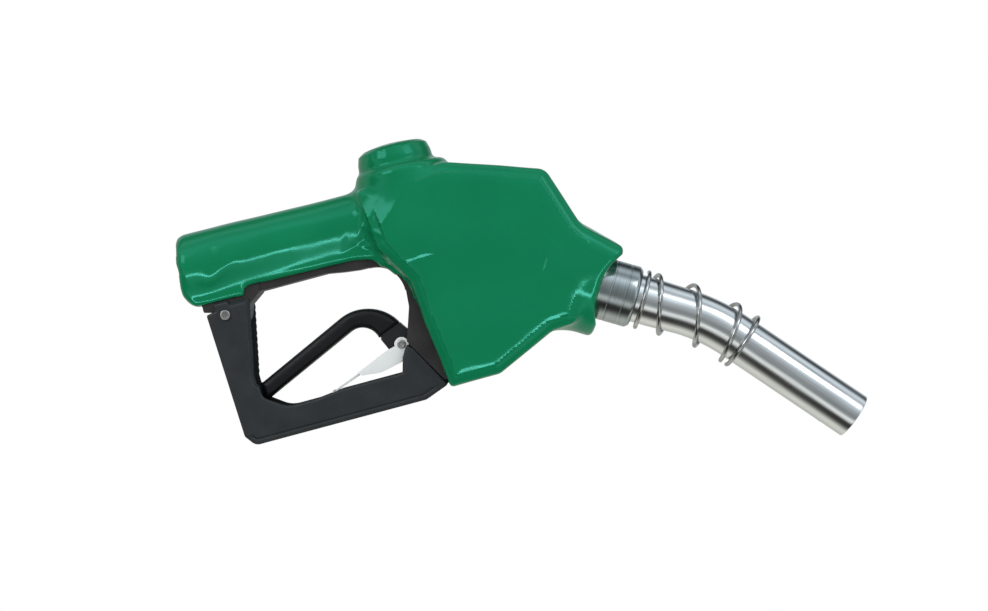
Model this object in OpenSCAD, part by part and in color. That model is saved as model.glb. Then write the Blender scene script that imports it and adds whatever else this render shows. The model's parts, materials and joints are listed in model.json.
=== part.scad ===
// Automatic shut-off fuel nozzle.
// Origin: centre of the hose inlet's face. +X runs along the handle towards
// the spout, +Z is up through the valve cap and Y runs across the nozzle.

/* [Handle] */
// Radius of the cast handle barrel
handle_r = 16.2; // [15.5:0.1:17]
// Radius of the hose thread in the inlet
inlet_r = 12.3; // [12:0.1:12.6]
// Length of the hose thread
inlet_len = 20; // [16:1:24]
// Radius of the fuel passage along the handle
passage_r = 9.5; // [8:0.5:10]

/* [Body] */
// Half the width of the cast valve body
body_half_w = 24; // [23.5:0.1:25]
// Thickness of the vinyl cover
vinyl_t = 2; // [1.6:0.1:2.4]
// Distance of the main valve axis from the inlet face
valve_x = 126.5; // [126:0.1:127]
// Radius of the round valve tower
tower_r = 17.8; // [17.5:0.1:18]

/* [Guard and lever] */
// Half the width of the lever guard and of the front leg
guard_half_w = 14; // [13.8:0.1:14.5]
// Wall thickness of the guard
guard_t = 2.5; // [2.2:0.1:2.6]
// Half the width of the lever's plastic sleeve
sleeve_half_w = 9; // [8.5:0.1:9.2]
// Lever travel at full flow, in degrees
lever_travel = 15; // [10:1:15]

/* [Spout] */
// Angle of the outlet below the handle's axis
outlet_drop = 31; // [31:1:31]
// Further bend in the spout
spout_bend = 18; // [18:1:18]
// Outside radius of the spout's straight end
spout_r = 12.7; // [12.5:0.1:12.8]
// Inside radius of the spout
spout_bore_r = 11.5; // [11:0.1:11.6]
// Radius of the bend along the spout's centreline
bend_r = 105; // [104:1:106]
// Length of the straight end past the bend
tip_len = 78; // [72:1:80]
// Outside radius of the spout collar
collar_r = 17; // [16.6:0.1:17.1]
// Wire radius of the hook spring round the spout
hook_wire_r = 1.15; // [1:0.05:1.2]

/* [Hidden] */
$fn = 72;
eps = 0.01;
gap = 0.1;

// Outlet axis: a point on it at the mouth of the body, as [x, z]
outlet_p = [220, -70];
// Latch axis: its top at the diaphragm cover, as [x, z], and its tilt
latch_p = [178.5, 10.4];
latch_tilt = 19.5;
// Distance down the latch axis to the lever's pivot
pivot_t = 96;
pivot_p = latch_p + pivot_t * [-sin(latch_tilt), -cos(latch_tilt)];
// Clip pivot on the lever, as [x, z]
clip_p = [104.5, -69.7];
clip_reach = 45.3;
// Top of the diaphragm, and the middle of its latch balls, down the latch axis
diaphragm_t = 7.95;
ball_t = 21.5;
// Valve seat height, and the lever's flat under the stem
seat_z = -13;
stem_pad_z = -69.5;
stem_end_z = stem_pad_z + 0.2;
// Bevel round the inlet's rim
rim = 2;
// Where the cast handle tapers, and its radius in front of that
handle_taper = [12, 92];
handle_front_r = 14.4;
// Step along the borders of the body's flat sides, under the cover's bevel
shoulder_w = 5;
shoulder_h = 3.5;
// Outlet neck's radius, and the lock screw's place along the outlet axis
neck_r = 20.8;
lock_s = -10;
// Cheek slot that the lever moves in
slot_half_w = 9.6;
guard_in = guard_half_w - guard_t;
// Screw through the guard and the inlet's lug, as [x, z]
guard_screw_p = [17.25, -30];
// Where the spout's parts start and end along the outlet axis
collar_end = 16.2;
bend_start = 41.5;
bend_len = bend_r * spout_bend * PI / 180;
// Hook spring: mean coil radius, first and last place, half turns
hook_r = 15.4;
hook_from = 19.5;
hook_to = 81.8;
hook_half_turns = 9;

// ---- Shared shapes -------------------------------------------------------

// A solid of an [x, z] outline, centred across the nozzle
module across(width) {
    rotate([90, 0, 0])
        linear_extrude(width, center = true)
            children();
}

// A round bar across the nozzle at an [x, z] place
module cross_bar(p, r, width) {
    translate([p[0], 0, p[1]])
        rotate([90, 0, 0])
            cylinder(r = r, h = width, center = true);
}

// Children drawn along +Z are laid down the latch axis, t from its top
module on_latch(t = 0) {
    translate([latch_p[0], 0, latch_p[1]])
        rotate([0, 180 + latch_tilt, 0])
            translate([0, 0, t])
                children();
}

// Children drawn along +Z are laid down the outlet axis, s from its mouth
module on_outlet(s = 0) {
    translate([outlet_p[0], 0, outlet_p[1]])
        rotate([0, 90 + outlet_drop, 0])
            translate([0, 0, s])
                children();
}

module ring(r_out, r_in, h) {
    difference() {
        cylinder(r = r_out, h = h);
        translate([0, 0, -1])
            cylinder(r = r_in, h = h + 2);
    }
}

module torus(r, wire_r) {
    rotate_extrude($fn = 48)
        translate([r, 0])
            circle(r = wire_r, $fn = 16);
}

// An outline with its corners rounded: each corner is [x, z, radius]
function unit(v) = v / norm(v);
function turned(v) = [-v[1], v[0]];
function cross2(a, b) = a[0] * b[1] - a[1] * b[0];
function corner_arc(a, p, b, r) =
    r == 0 ? [p] :
    let (
        u = unit(a - p),
        v = unit(b - p),
        half = acos(min(1, max(-1, u * v))) / 2,
        c = p + unit(u + v) * r / sin(half),
        t1 = p + u * r / tan(half) - c,
        t2 = p + v * r / tan(half) - c,
        sweep = 180 - 2 * half,
        way = cross2(t1, t2) > 0 ? 1 : -1,
        n = max(2, ceil(sweep / 12))
    )
    [for (i = [0:n]) c + cos(way * sweep * i / n) * t1
        + sin(way * sweep * i / n) * turned(t1)];
function rounded(pts) = [
    for (i = [0:len(pts) - 1])
        let (
            n = len(pts),
            a = pts[(i + n - 1) % n],
            p = pts[i],
            b = pts[(i + 1) % n]
        )
        each corner_arc([a[0], a[1]], [p[0], p[1]], [b[0], b[1]], p[2])
];

// A clockwise outline moved outward by g, with its corners kept as mitres
function outward(a, b) = turned(unit(b - a));
function grown(pts, g) = [
    for (i = [0:len(pts) - 1])
        let (
            n = len(pts),
            a = [pts[(i + n - 1) % n][0], pts[(i + n - 1) % n][1]],
            p = [pts[i][0], pts[i][1]],
            b = [pts[(i + 1) % n][0], pts[(i + 1) % n][1]],
            m = outward(a, p),
            k = outward(p, b),
            q = p + g * (m + k) / (1 + m * k)
        )
        [q[0], q[1], pts[i][2]]
];

// A helical wire: radius, wire radius, length, turns, and flat end coils
function coil_rise(u) = u <= 0.12 ? 0 : u >= 0.88 ? 1 : (u - 0.12) / 0.76;
module helix(r, wire_r, h, turns, sides = 6) {
    n = ceil(turns * 14);
    sweep([for (i = [0:n])
        let (a = 360 * turns * i / n)
        [[r * cos(a), r * sin(a), wire_r + (h - 2 * wire_r) * coil_rise(i / n)],
         [cos(a), sin(a), 0]]
    ], wire_r, sides);
}

// A wire swept along points: each is [point, direction towards its outside]
module sweep(path, wire_r, sides) {
    n = len(path);
    pts = [for (i = [0:n - 1])
        let (
            along = unit(path[min(i + 1, n - 1)][0] - path[max(i - 1, 0)][0]),
            out = path[i][1],
            side = unit(cross(along, out)),
            up = cross(side, along)
        )
        for (k = [0:sides - 1])
            path[i][0] + wire_r * (cos(360 * k / sides) * up
                + sin(360 * k / sides) * side)];
    walls = [for (i = [0:n - 2], k = [0:sides - 1])
        let (j = (k + 1) % sides)
        [i * sides + k, (i + 1) * sides + k, (i + 1) * sides + j, i * sides + j]];
    ends = [
        [for (k = [0:sides - 1]) k],
        [for (k = [sides - 1:-1:0]) (n - 1) * sides + k]
    ];
    polyhedron(points = pts, faces = concat(walls, ends), convexity = 10);
}

// A screw along +Z: its head starts at 0 and its shank ends at len
module socket_screw(head_r, head_h, shank_r, len) {
    difference() {
        union() {
            cylinder(r = head_r, h = head_h);
            cylinder(r = shank_r, h = len);
        }
        translate([0, 0, -eps])
            cylinder(r = head_r * 0.5, h = head_h * 0.6, $fn = 6);
    }
}

// ---- Cast body -----------------------------------------------------------

// Side outline of the cast body, clockwise from the handle's top
BODY = [
    [104, 14.6, 0], [151, 17, 3], [202, -0.4, 6], [211.6, -31, 3],
    [219.5, -42.5, 0], [197.3, -80.6, 4], [184, -81.5, 14], [151.5, -96.4, 6],
    [126.6, -96.4, 0], [122.2, -62, 10], [120.6, -38, 10], [108, -16, 0]
];
// Front leg that the guard butts against, below the arch over the hand gap
LEG = [
    [113, -33, 0], [114.6, -42, 0], [113.9, -51, 6], [107.9, -69, 0],
    [122.4, -94, 0], [130, -94, 0], [130, -33, 0]
];
// Slot for the lever and the lower end of the latch plunger
SLOT = [
    [102, -40, 0], [119, -40, 0], [119, -44.5, 0], [137, -44.5, 0],
    [137, -53, 0], [158, -60, 0], [158, -99, 0], [102, -99, 0]
];
// Lug under the inlet that the guard is screwed to
LUG = [
    [6, -15, 0], [6, -25.8, 1], [12.8, -27.6, 0], [13.6, -36, 3], [28, -36, 3],
    [31.2, -27.3, 1], [38.5, -22.2, 3], [38.5, -15, 0]
];

module arch_outline() {
    difference() {
        polygon([[74, -12], [74, -22], [84, -23.7], [93, -24.8], [97.6, -24.9],
            [97.6, -42], [122, -42], [122, -12]]);
        translate([97.6, -41.6])
            circle(r = 16.5);
    }
}

// Cuts the block's upper rear corner back towards the handle, g proud of it
module blend_facet(g) {
    translate([128, body_half_w + g, 10])
        multmatrix([[1, 0, 0, 0], [0.29, 1, -0.32, 0], [0, 0, 1, 0]])
            translate([-60, 0, -60])
                cube([70, 60, 80]);
}

// The outer form shared by the casting and its cover, grown outward by g
module body_block(g) {
    difference() {
        union() {
            across(2 * (body_half_w + g))
                polygon(rounded(grown(BODY, g - shoulder_w)));
            across(2 * (body_half_w - shoulder_h + g))
                polygon(rounded(grown(BODY, g)));
        }
        for (side = [-1, 1])
            scale([1, side, 1])
                blend_facet(g);
    }
    translate([valve_x, 0, -20])
        cylinder(r = tower_r + g, h = 46 + (g > 0 ? 9.2 + g : 0));
    on_outlet(-34)
        cylinder(r = neck_r + g, h = 28);
}

// The round handle from its end at x = 0, tapered towards the body, grown by g
module handle_form(g, h) {
    rotate([0, 90, 0])
        rotate_extrude()
            polygon([[0, 0], [handle_r + g - rim, 0], [handle_r + g, rim],
                [handle_r + g, handle_taper[0]],
                [handle_front_r + g, handle_taper[1]], [handle_front_r + g, h], [0, h]]);
}

module flow_cavities() {
    translate([-1, 0, 0])
        rotate([0, 90, 0])
            cylinder(r = inlet_r, h = inlet_len + 1);
    rotate([0, 90, 0])
        cylinder(r = passage_r, h = 118);
    translate([valve_x, 0, seat_z])
        cylinder(r = 13, h = 60);
    translate([valve_x, 0, 11])
        cylinder(r = 14, h = 30);
    translate([valve_x, 0, seat_z - 4])
        cylinder(r = 11, h = 5);
    translate([valve_x, 0, -37])
        cylinder(r = 12, h = 22);
    translate([valve_x, 0, -28])
        rotate([0, 90, 0])
            cylinder(r = 8.8, h = 26);
    on_outlet(-82)
        cylinder(r = 11.5, h = 60);
    on_outlet(-46)
        cylinder(r = 13.4, h = 32);
    on_outlet(-17)
        cylinder(r = collar_r + 0.05, h = 30);
    on_latch(37.5)
        cylinder(r = 18, h = 22);
}

module latch_cavities() {
    on_latch(-30)
        cylinder(r = 22.1, h = diaphragm_t + 30.85);
    on_latch(diaphragm_t)
        cylinder(r = 16, h = 6.8);
    on_latch(diaphragm_t + 6)
        cylinder(r = 9.2, h = 16.3);
    on_latch(diaphragm_t + 14)
        cylinder(r = 6.7, h = 23.3);
    on_latch(30)
        cylinder(r = 4.05, h = 50);
}

module body_casting() {
    color([0.27, 0.24, 0.24])
    difference() {
        union() {
            difference() {
                union() {
                    body_block(0);
                    handle_form(0, 114);
                    translate([6, -10.5, -22.2])
                        cube([92, 21, 14]);
                    across(21)
                        arch_outline();
                    across(2 * guard_half_w)
                        polygon(rounded(LEG));
                    across(2 * guard_in - 0.6)
                        polygon(rounded(LUG));
                }
                flow_cavities();
                across(2 * slot_half_w)
                    polygon([for (p = SLOT) [p[0], p[1]]]);
            }
            on_latch(33)
                cylinder(r = 8.7, h = 31);
            translate([valve_x, 0, -44])
                ring(9.5, 5.2, 7.5);
        }
        latch_cavities();
        translate([valve_x, 0, -44.5])
            cylinder(r = 5.2, h = 6.5);
        translate([valve_x, 0, -42])
            cylinder(r = 3.05, h = 12);
        cross_bar(guard_screw_p, 2, 60);
        cross_bar([130, -93], 1.6, 32);
        for (a = [45:90:315])
            on_latch(8)
                rotate(a)
                    translate([19, 0, 0])
                        cylinder(r = 1.6, h = 10);
        on_outlet(lock_s)
            rotate([0, 90, 0])
                cylinder(r = 2, h = 30);
    }
}

// ---- Vinyl cover ---------------------------------------------------------

module hand_insulator() {
    color([0.07, 0.49, 0.32])
    difference() {
        union() {
            body_block(vinyl_t + gap);
            translate([-1.5, 0, 0])
                handle_form(vinyl_t + 0.2, 114);
            translate([1, -guard_in - vinyl_t, -22.7])
                cube([30, 2 * (guard_in + vinyl_t), 20]);
            translate([20, -10.5 - vinyl_t, -18.4])
                cube([78, 21 + 2 * vinyl_t, 10]);
            across(21 + 2 * vinyl_t)
                intersection() {
                    arch_outline();
                    polygon([[92, -18.4], [101, -20], [110, -28], [117, -38], [124, -38], [124, 0], [92, 0]]);
                }
            on_outlet(-8)
                cylinder(r = neck_r + gap + vinyl_t, h = 8);
        }
        body_block(gap);
        handle_form(gap, 116);
        translate([-3, 0, 0])
            rotate([0, 90, 0])
                cylinder(r = handle_r - 0.9, h = 6);
        translate([valve_x, 0, 20])
            cylinder(r = tower_r + gap, h = 14.3);
        translate([5.9, -10.6, -30])
            cube([93, 21.2, 24]);
        across(2 * guard_in - 0.4)
            polygon([[3.9, -10], [3.9, -30], [40, -30], [40, -10]]);
        across(21.2)
            arch_outline();
        across(2 * guard_half_w + 0.2)
            polygon([[106, -33], [113, -33], [122, -33], [130.1, -33], [130.1, -94.1], [106, -94.1]]);
        across(2 * slot_half_w)
            polygon([[102, -39], [124, -39], [124, -60], [128, -96.4], [102, -96.4]]);
        on_outlet(-10)
            cylinder(r = collar_r + 0.8, h = 20);
        on_outlet(-10)
            cylinder(r = neck_r + gap, h = 4.1);
        on_latch(2.1)
            cylinder(r = 22.2, h = 6);
        on_outlet(lock_s)
            rotate([0, 90, 0])
                cylinder(r = 3.6, h = 40);
    }
}

// ---- Lever guard ---------------------------------------------------------

GUARD = [
    [12.2, -22.8, 0], [32.6, -22.8, 0], [32.6, -28, 0], [24.9, -66, 0],
    [25.2, -78, 5], [36.6, -86.3, 14], [53, -86.3, 20], [66.5, -84.7, 20],
    [101.2, -84.7, 1.5], [103.5, -76.5, 3], [107.9, -69, 0], [122.6, -95, 0],
    [123, -97.2, 1], [110, -102, 5], [14.8, -102, 5], [10.3, -96, 3],
    [7.2, -27.6, 1], [12.2, -26.6, 0]
];
// Inside of the channel, open towards the hand gap
CHANNEL = [
    [10.4, -20], [9.9, -28], [11.9, -68.5], [13.2, -94.6], [17.4, -99.3],
    [109, -99.3], [122, -94.6], [126, -90], [126, -50], [50, -50], [50, -20]
];
TONGUE = [
    [108, -99.6], [120, -93.9], [133, -93.9], [133, -96.2], [124, -96.2], [111, -100.9]
];

module lever_guard() {
    color([0.18, 0.2, 0.21])
    difference() {
        union() {
            difference() {
                across(2 * guard_half_w)
                    polygon(rounded(GUARD));
                across(2 * guard_in)
                    polygon(CHANNEL);
            }
            across(2 * slot_half_w - 0.6)
                polygon(TONGUE);
            cross_bar([130, -93], 3, 2 * slot_half_w - 0.6);
        }
        cross_bar(guard_screw_p, 2, 60);
        cross_bar([130, -93], 1.6, 60);
    }
}

// Rack of notches for the clip's cross bar, one for each held lever lift
RACK_Z = -88.8;
function lifted(p, c, a) = c + [
    (p[0] - c[0]) * cos(a) + (p[1] - c[1]) * sin(a),
    (p[1] - c[1]) * cos(a) - (p[0] - c[0]) * sin(a)
];
function notch_x(a) =
    let (q = lifted(clip_p, pivot_p, a))
    q[0] - sqrt(pow(clip_reach, 2) - pow(q[1] - RACK_Z, 2));
module hold_open_rack() {
    rail_from = notch_x(lever_travel / 3) - 1.5;
    rail_to = notch_x(lever_travel) + 5;
    color([0.6, 0.6, 0.6])
    difference() {
        across(2 * guard_in - 0.2)
            polygon([[rail_from, RACK_Z], [rail_to, RACK_Z],
                [rail_to, -99.2], [rail_to - 10, -99.2],
                [rail_to - 10, -91.8], [rail_from + 2, -91.8]]);
        across(2 * 8)
            polygon([[rail_from - 1, -97.8], [rail_to + 1, -97.8],
                [rail_to + 1, -85], [rail_from - 1, -85]]);
        for (i = [1:3])
            cross_bar([notch_x(lever_travel * i / 3), RACK_Z + 0.2], 1, 40);
    }
}

module guard_screw() {
    color([0.75, 0.75, 0.76]) {
        translate([guard_screw_p[0], -guard_half_w - 1.6, guard_screw_p[1]])
            rotate([-90, 0, 0])
                socket_screw(2.8, 1.6, 1.98, 2 * guard_half_w + 2.4);
        translate([guard_screw_p[0], guard_half_w, guard_screw_p[1]])
            rotate([-90, 0, 0])
                ring(3.2, 1.98, 2);
    }
}

module guard_front_pin() {
    color([0.7, 0.7, 0.7])
        cross_bar([130, -93], 1.58, 31.6);
}

// ---- Main valve ----------------------------------------------------------

module valve_cap() {
    color([0.66, 0.64, 0.58])
    translate([valve_x, 0, 0])
        difference() {
            union() {
                translate([0, 0, 13])
                    cylinder(r = 13.95, h = 14);
                translate([0, 0, 26])
                    cylinder(r = tower_r, h = 6.5);
                translate([0, 0, 32.5])
                    cylinder(r1 = tower_r, r2 = tower_r - 3, h = 1.7);
            }
            translate([0, 0, 12])
                cylinder(r = 10, h = 13);
        }
}

module cap_o_ring() {
    color([0.1, 0.1, 0.1])
    translate([valve_x, 0, 11.9])
        torus(11.9, 0.95);
}

module valve_seat() {
    color([0.75, 0.6, 0.3])
    translate([valve_x, 0, seat_z - 4])
        ring(10.98, 8, 4);
}

module valve_poppet() {
    color([0.72, 0.58, 0.3])
    translate([valve_x, 0, seat_z + 1.8])
        difference() {
            union() {
                cylinder(r = 11.2, h = 3);
                cylinder(r = 6, h = 7);
                translate([0, 0, -1.8])
                    cylinder(r = 7.4, h = 2);
            }
            translate([0, 0, -2])
                cylinder(r = 2.5, h = 6);
        }
}

module valve_seal() {
    color([0.12, 0.12, 0.12])
    translate([valve_x, 0, seat_z + 0.05])
        ring(10.6, 7.5, 1.7);
}

module valve_stem() {
    color([0.8, 0.8, 0.8])
    translate([valve_x, 0, 0])
        union() {
            translate([0, 0, seat_z - 6])
                cylinder(r = 2.48, h = 11.5);
            translate([0, 0, stem_end_z + 4])
                cylinder(r = 3, h = seat_z - stem_end_z - 9.5);
            translate([0, 0, stem_end_z + 4])
                cylinder(r = 4, h = 4);
            translate([0, 0, stem_end_z + 4])
                sphere(r = 4);
        }
}

module valve_spring() {
    color([0.6, 0.62, 0.65])
    translate([valve_x, 0, seat_z + 4.85])
        helix(8, 0.9, 33, 6);
}

module stem_packing() {
    color([0.85, 0.85, 0.8])
    translate([valve_x, 0, -43.4])
        ring(5.15, 3.05, 5.3);
}

module packing_gland() {
    color([0.75, 0.6, 0.3])
    translate([valve_x, 0, -51])
        difference() {
            union() {
                cylinder(r = 7, h = 6.4, $fn = 6);
                cylinder(r = 5.15, h = 7.5);
            }
            translate([0, 0, -1])
                cylinder(r = 3.05, h = 12);
        }
}

// ---- Diaphragm and latch -------------------------------------------------

module diaphragm_cover() {
    color([0.55, 0.53, 0.5])
    on_latch(2.2)
        difference() {
            cylinder(r = 21.9, h = 5.7);
            translate([0, 0, 1.5])
                cylinder(r = 15, h = 5);
            for (a = [45:90:315])
                rotate(a)
                    translate([19, 0, -1]) {
                        cylinder(r = 1.65, h = 8);
                        cylinder(r = 2.75, h = 2.8);
                    }
        }
}

module diaphragm_screws() {
    color([0.75, 0.75, 0.76])
    for (a = [45:90:315])
        on_latch(2.3)
            rotate(a)
                translate([19, 0, 0])
                    socket_screw(2.7, 1.65, 1.55, 14);
}

module diaphragm() {
    color([0.15, 0.15, 0.15])
    on_latch(diaphragm_t)
        difference() {
            cylinder(r = 21.9, h = 0.8);
            translate([0, 0, -1])
                cylinder(r = 2.4, h = 3);
            for (a = [45:90:315])
                rotate(a)
                    translate([19, 0, -1])
                        cylinder(r = 1.65, h = 6);
        }
}

module diaphragm_plate() {
    color([0.7, 0.7, 0.7])
    on_latch(diaphragm_t + 0.9)
        ring(11, 2.32, 1.2);
}

module diaphragm_spring() {
    color([0.6, 0.62, 0.65])
    on_latch(3.75)
        helix(5, 0.4, 4.1, 2.5);
}

module latch_pin() {
    color([0.8, 0.8, 0.8])
    on_latch(diaphragm_t - 1.3)
        union() {
            cylinder(r = 2.3, h = 17);
            translate([0, 0, 17])
                cylinder(r1 = 2.3, r2 = 1.2, h = 3);
            cylinder(r = 3.4, h = 1.2);
            translate([0, 0, 3.45])
                cylinder(r = 3.4, h = 1.5);
        }
}

// Hardened ring whose groove the three balls lock into
module latch_ring() {
    color([0.5, 0.5, 0.52])
    on_latch(diaphragm_t + 6.35)
        difference() {
            cylinder(r = 9.15, h = 15.9);
            translate([0, 0, -1])
                cylinder(r = 6.6, h = 20);
            translate([0, 0, ball_t - diaphragm_t - 8.55])
                cylinder(r = 7.8, h = 4.4);
        }
}

ball_r = 2.05;
ball_at = 4.4;
module latch_balls() {
    color([0.85, 0.85, 0.86])
    on_latch(ball_t)
        for (a = [0:120:240])
            rotate(a)
                translate([ball_at, 0, 0])
                    sphere(r = ball_r, $fn = 32);
}

module latch_plunger() {
    color([0.72, 0.72, 0.74])
    difference() {
        union() {
            on_latch(ball_t - 5)
                cylinder(r = 6.5, h = 15.8);
            on_latch(30)
                cylinder(r = 4, h = pivot_t - 30 - 8);
            intersection() {
                on_latch(pivot_t - 14)
                    cylinder(r = 4, h = 18);
                across(5.4)
                    polygon([[125, -110], [175, -110], [175, -55], [125, -55]]);
            }
            cross_bar(pivot_p, 4.2, 5.4);
        }
        on_latch(ball_t - 6)
            cylinder(r = 2.4, h = 14);
        on_latch(ball_t)
            for (a = [0:120:240])
                rotate(a)
                    translate([1, 0, 0])
                        rotate([0, 90, 0])
                            cylinder(r = ball_r + 0.05, h = 8);
        cross_bar(pivot_p, 2.05, 20);
    }
}

module plunger_spring() {
    color([0.6, 0.62, 0.65])
    on_latch(32.4)
        helix(5.45, 0.6, 12.7, 5);
}

// ---- Lever and clip ------------------------------------------------------

// The hump is an arc; its rear side runs straight down to the guard
HUMP_C = [85.5, -69];
HUMP_OUT = 23.5;
HUMP_IN_C = [83.5, -65.4];
HUMP_IN = 10.2;
REAR_SLOPE = 24;
function polar(c, r, a) = c + r * [cos(a), sin(a)];
function arc(c, r, from, to, n) =
    [for (i = [0:n]) polar(c, r, from + (to - from) * i / n)];
// Outline of the sleeve, thinned all round by t
function sleeve_outline(t) = concat(
    [[25.3 + t, -70.6 - t]],
    arc(HUMP_C, HUMP_OUT - t, 90 + REAR_SLOPE, 27, 10),
    arc(HUMP_IN_C, HUMP_IN + t, 12, 90 + REAR_SLOPE, 8),
    [[25.3 + t, -80.4 + t]]
);
ARM = [
    [96, -57, 0], [106.3, -57.9, 0], [111.5, -65.4, 0], [121.3, stem_pad_z, 0],
    [132.3, stem_pad_z, 0], [139, -73.2, 0], [150.5, -76, 4], [152, -84, 4],
    [143, -85.4, 3], [104.5, -75, 4], [97.5, -71.6, 2], [94.3, -64.5, 0]
];

module lever() {
    color([0.13, 0.13, 0.14])
    difference() {
        union() {
            across(10)
                polygon(sleeve_outline(2));
            across(13)
                polygon(rounded(ARM));
        }
        across(6)
            polygon([[133, -60], [160, -60], [160, -100], [133, -100]]);
        across(8)
            polygon([[98, -90], [98, -67], [106, -67], [120, -73], [131, -74.5], [133.2, -90]]);
        cross_bar(pivot_p, 2.05, 40);
        cross_bar(clip_p, 1.6, 40);
    }
}

module lever_sleeve() {
    color([0.09, 0.09, 0.1])
    difference() {
        across(2 * sleeve_half_w)
            polygon(sleeve_outline(0));
        across(10.1)
            polygon(sleeve_outline(1.95));
        across(13.1)
            polygon(rounded(grown(ARM, 0.05)));
    }
}

module lever_pivot_pin() {
    color([0.8, 0.8, 0.8])
        cross_bar(pivot_p, 2, 14);
}

module clip_pin() {
    color([0.6, 0.6, 0.6])
    union() {
        cross_bar(clip_p, 1.55, 18.4);
        for (side = [-1, 1])
            translate([clip_p[0], side * 9.05, clip_p[1]])
                rotate([90, 0, 0])
                    cylinder(r = 2.1, h = 0.5, center = true);
    }
}

CLIP = [
    [101.2, -69.6, 0], [95.6, -71, 3], [88, -74.2, 4], [77, -78.8, 0.4],
    [80, -80.7, 3], [90, -81.6, 8], [102, -79.2, 4], [107.6, -70.6, 0]
];
// Direction from the clip's pivot to its cross bar, at rest
clip_tip = [62.2, -85.2];
module hold_open_clip() {
    color([0.85, 0.85, 0.84])
    difference() {
        union() {
            across(17.4)
                union() {
                    translate(clip_p)
                        circle(r = 3.9);
                    polygon(rounded(CLIP));
                }
            across(8)
                polygon([[84, -76.6], [62.5, -84.6], [61.9, -85.8], [84, -77.9]]);
            cross_bar(clip_tip, 0.8, 19);
        }
        across(13.6)
            polygon([[110, -60], [110, -78.3], [100, -77.8], [92, -79.8],
                [81, -79.4], [79.5, -77.6], [94, -60]]);
        across(13.6)
            polygon([[99, -60], [99, -90], [112, -90], [112, -60]]);
        cross_bar(clip_p, 1.6, 40);
    }
}

module clip_spring() {
    color([0.6, 0.62, 0.65])
    translate([clip_p[0], 3.4, clip_p[1]])
        rotate([90, 0, 0])
            helix(2.3, 0.4, 6.8, 6);
}

// ---- Outlet check valve --------------------------------------------------

module check_seat() {
    color([0.75, 0.6, 0.3])
    on_outlet(-46)
        difference() {
            cylinder(r = 13.35, h = 5);
            translate([0, 0, -1])
                cylinder(r = 8.5, h = 7);
            translate([0, 0, 2])
                cylinder(r1 = 8.5, r2 = 10.5, h = 3.01);
        }
}

module check_poppet() {
    color([0.6, 0.6, 0.62])
    on_outlet(-44.3)
        union() {
            translate([0, 0, 0])
                cylinder(r1 = 7, r2 = 9.6, h = 4.2);
            translate([0, 0, 4.2])
                cylinder(r = 9.6, h = 1.6);
            cylinder(r = 2, h = 18);
        }
}

module check_seal() {
    color([0.12, 0.12, 0.12])
    on_outlet(-38.45)
        ring(9, 4, 1);
}

// Spider whose hub guides the poppet's stem
module check_guide() {
    color([0.6, 0.6, 0.62])
    on_outlet(-26)
        union() {
            ring(13.35, 11.6, 6);
            ring(4.2, 2.06, 6);
            for (a = [0:120:240])
                rotate(a)
                    translate([4, -0.8, 1])
                        cube([8, 1.6, 4]);
        }
}

module check_spring() {
    color([0.6, 0.62, 0.65])
    on_outlet(-37.35)
        helix(3.2, 0.4, 11.2, 6);
}

// ---- Spout ---------------------------------------------------------------

module spout_collar() {
    color([0.72, 0.74, 0.76])
    on_outlet(-12)
        rotate_extrude()
            difference() {
                polygon([[13.3, 0], [collar_r, 0], [collar_r, 26.2], [collar_r - 1.4, 28.2],
                    [13.3, 28.2]]);
                translate([13.3, 5])
                    circle(r = 0.9, $fn = 16);
            }
}

module spout_o_ring() {
    color([0.1, 0.1, 0.1])
    on_outlet(-7)
        torus(13.7, 0.45);
}

// Children are placed at the bend's start, with the tube's axis along +Z
module bend(r_off, a) {
    translate([bend_r, 0, 0])
        rotate([90, 0, 180])
            rotate_extrude(angle = a, $fn = 180)
                translate([bend_r + r_off, 0])
                    children();
}

// Children drawn along +Z at the start of the spout's straight end
module past_bend(s = 0) {
    on_outlet(bend_start)
        translate([bend_r, 0, 0])
            rotate([0, spout_bend, 0])
                translate([-bend_r, 0, s])
                    children();
}

// The bend stands lap_r proud of the straight parts, which run lap into it
lap = 1;
lap_r = 0.12;
module spout_tube() {
    bore = spout_bore_r + lap_r;
    color([0.8, 0.81, 0.82])
    difference() {
        union() {
            on_outlet(-12)
                cylinder(r = 13.2, h = 38);
            on_outlet(26)
                cylinder(r1 = 13.2, r2 = spout_r, h = bend_start - 26 + lap);
            on_outlet(bend_start)
                bend(0, spout_bend)
                    circle(r = spout_r + lap_r);
            past_bend(-lap)
                cylinder(r = spout_r, h = tip_len + lap);
        }
        on_outlet(-13)
            cylinder(r = bore, h = bend_start + 13 + lap);
        on_outlet(bend_start)
            bend(0, spout_bend)
                circle(r = spout_bore_r);
        past_bend(-lap)
            cylinder(r = bore, h = tip_len + lap + 1);
        past_bend(tip_len - 15)
            rotate([0, 90, 0])
                cylinder(r = 1.6, h = 20);
    }
}

// Air tube from the sensing port up to the diaphragm's passage
air_off = 7.9;
air_r = 2.2;
module air_tube() {
    color([0.75, 0.76, 0.78])
    union() {
        on_outlet(-12)
            translate([air_off, 0, 0])
                cylinder(r = air_r, h = bend_start + 12 + lap);
        on_outlet(bend_start)
            bend(-air_off, spout_bend)
                circle(r = air_r + lap_r);
        past_bend(-lap)
            translate([air_off, 0, 0])
                cylinder(r = air_r, h = tip_len - 12 + lap);
    }
}

module spout_lock_screw() {
    color([0.75, 0.75, 0.76])
    on_outlet(lock_s)
        translate([24.4, 0, 0])
            rotate([0, -90, 0])
                socket_screw(3.4, 2.6, 1.95, 7.1);
}

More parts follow.
